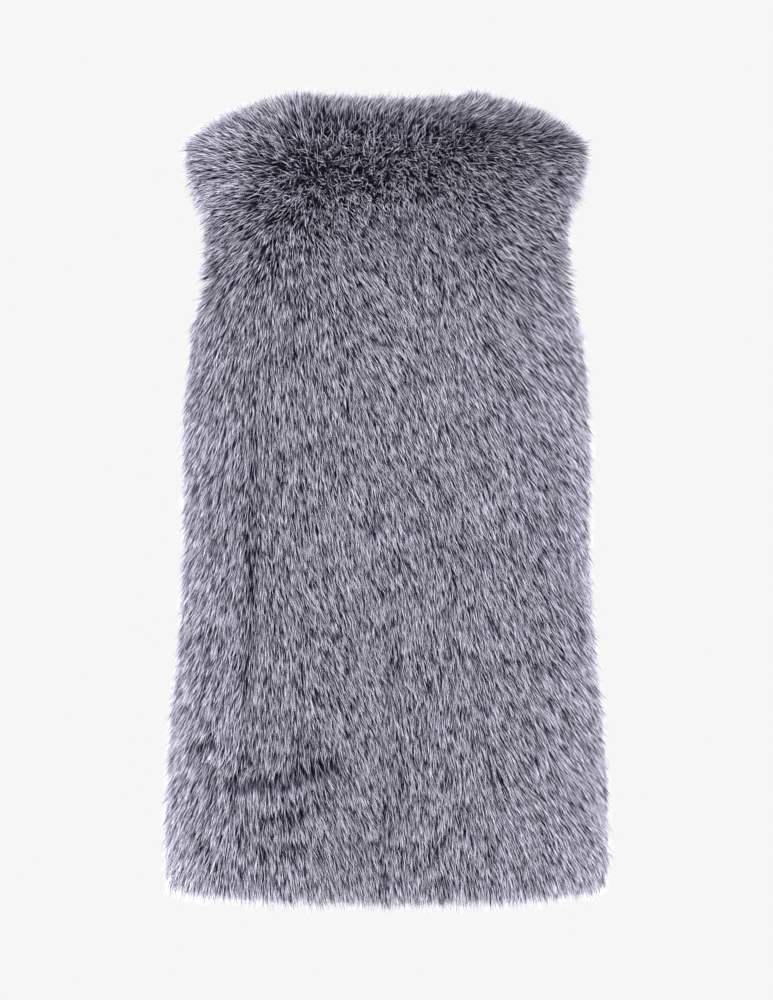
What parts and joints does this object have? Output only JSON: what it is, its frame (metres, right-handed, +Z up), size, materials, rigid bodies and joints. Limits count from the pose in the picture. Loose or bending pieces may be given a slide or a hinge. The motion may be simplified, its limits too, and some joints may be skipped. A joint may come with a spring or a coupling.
{
  "type": "faux fur vest",
  "caption": "Sleeveless, collarless vest of deep-pile faux fur, open down the front, hollow and filled out as when it is worn.",
  "frame": {"origin": "midway between the high points of the two shoulder seams, where the wearer's shoulders carry the vest", "axes": "+Z up along the vest's length; -Y out of the back panel, the side in the picture; +X to the wearer's right; the side and shoulder seams lie in the plane y = 0"},
  "size_m": [0.446, 0.3208, 0.8],
  "materials": {
    "faux_fur": "deep soft pile with dark roots and pale tips"
  },
  "bodies": {
    "root": {"back_panel": "faux_fur", "front_panel_left": "faux_fur", "front_panel_right": "faux_fur"}
  },
  "joints": []
}
